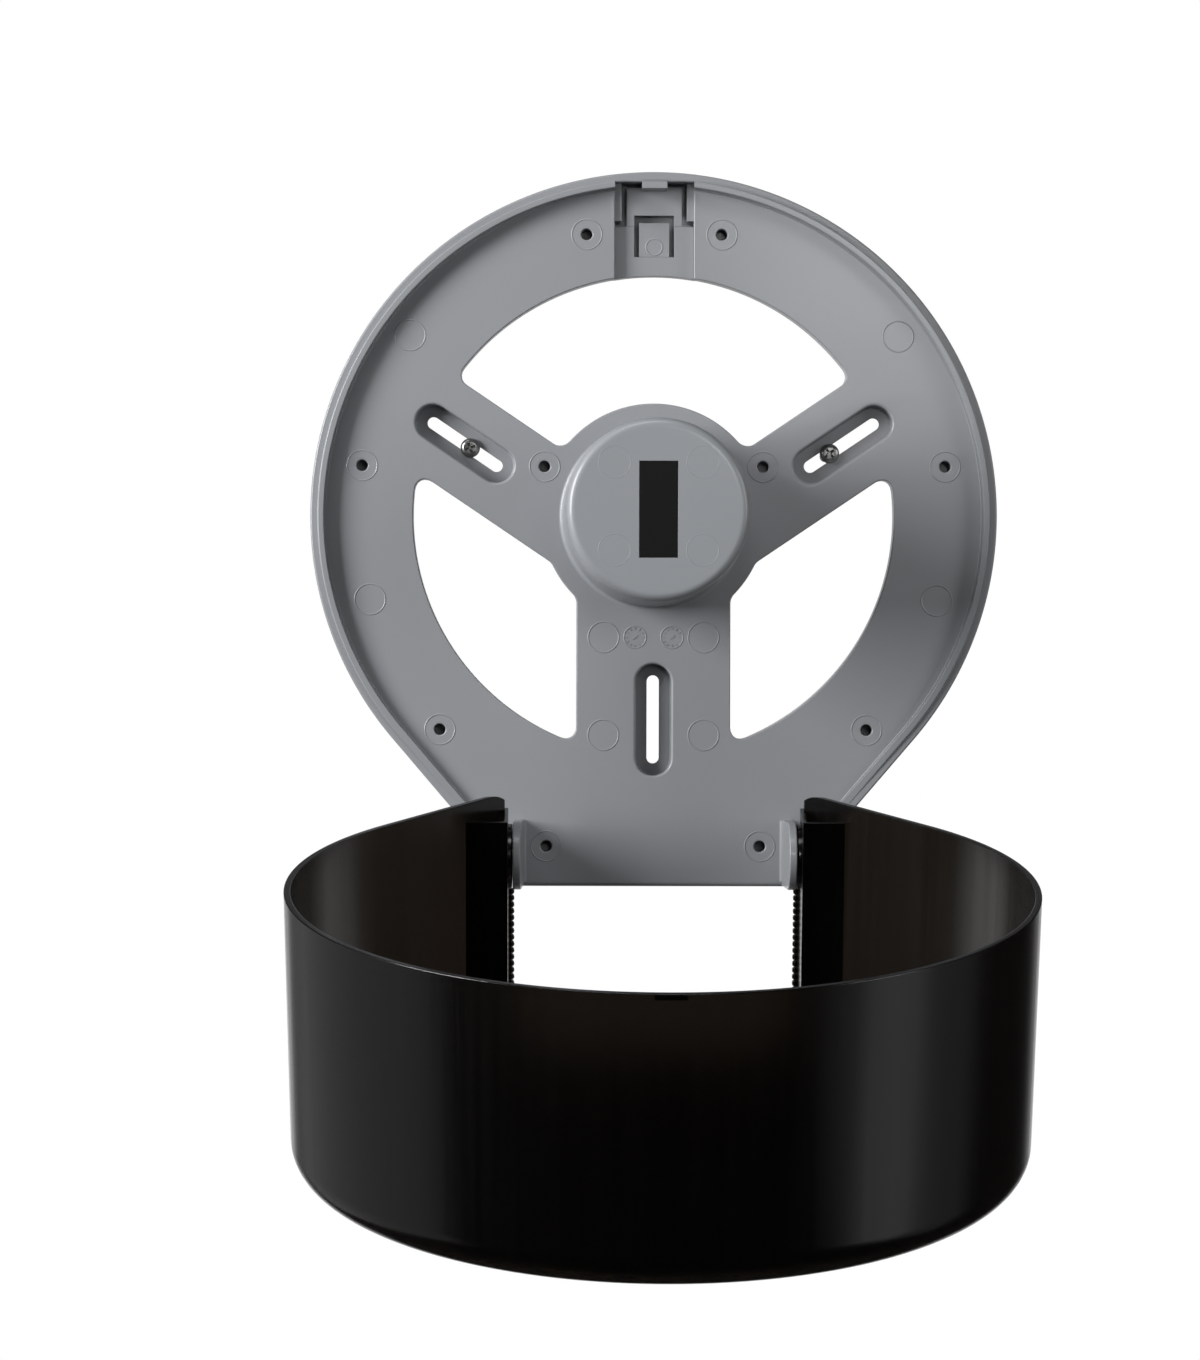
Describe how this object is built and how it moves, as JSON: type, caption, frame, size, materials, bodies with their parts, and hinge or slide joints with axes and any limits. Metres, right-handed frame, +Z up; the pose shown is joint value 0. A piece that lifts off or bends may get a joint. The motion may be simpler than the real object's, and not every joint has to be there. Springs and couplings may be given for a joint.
{
  "type": "jumbo toilet roll dispenser",
  "caption": "Round wall dispenser for a large toilet roll: back plate with a core hub, and a deep hinged cover with toothed paper exit, shown hanging open.",
  "frame": {"origin": "centre of the back plate's round outline, on the wall plane", "axes": "+X to the right seen from the front, +Y into the wall, +Z up; the wall is the plane Y = 0"},
  "size_m": [0.26, 0.3216, 0.3847],
  "materials": {
    "plate_abs": "fine-grained grey ABS, satin",
    "hub_abs": "satin grey ABS",
    "insert_black": "satin black plastic",
    "cover_smoke": "polished smoked black-brown plastic",
    "screw_steel": "dark oxidised steel"
  },
  "bodies": {
    "mounted_plate": {"back_plate": "plate_abs", "roll_hub": "hub_abs", "hub_insert": "insert_black", "wall_screw_left": "screw_steel", "wall_screw_right": "screw_steel"},
    "cover": {"cover": "cover_smoke"},
    "latch_paddle": {"latch_paddle": "plate_abs"},
    "latch_tongue": {"latch_tongue": "plate_abs"}
  },
  "joints": [
    {"name": "cover_hinge", "type": "hinge", "parent": "mounted_plate", "child": "cover", "pos_m": [0, -0.0373, -0.1277], "axis": [-1, 0, 0], "range_deg": [0, 102]},
    {"name": "paddle_flex", "type": "hinge", "parent": "mounted_plate", "child": "latch_paddle", "pos_m": [0, -0.007, 0.11], "axis": [1, 0, 0], "range_deg": [0, 4.5], "stiffness_Nm_per_rad": 0.5},
    {"name": "tongue_flex", "type": "hinge", "parent": "mounted_plate", "child": "latch_tongue", "pos_m": [0, -0.005, 0.0984], "axis": [-1, 0, 0], "range_deg": [0, 8], "stiffness_Nm_per_rad": 0.2}
  ]
}
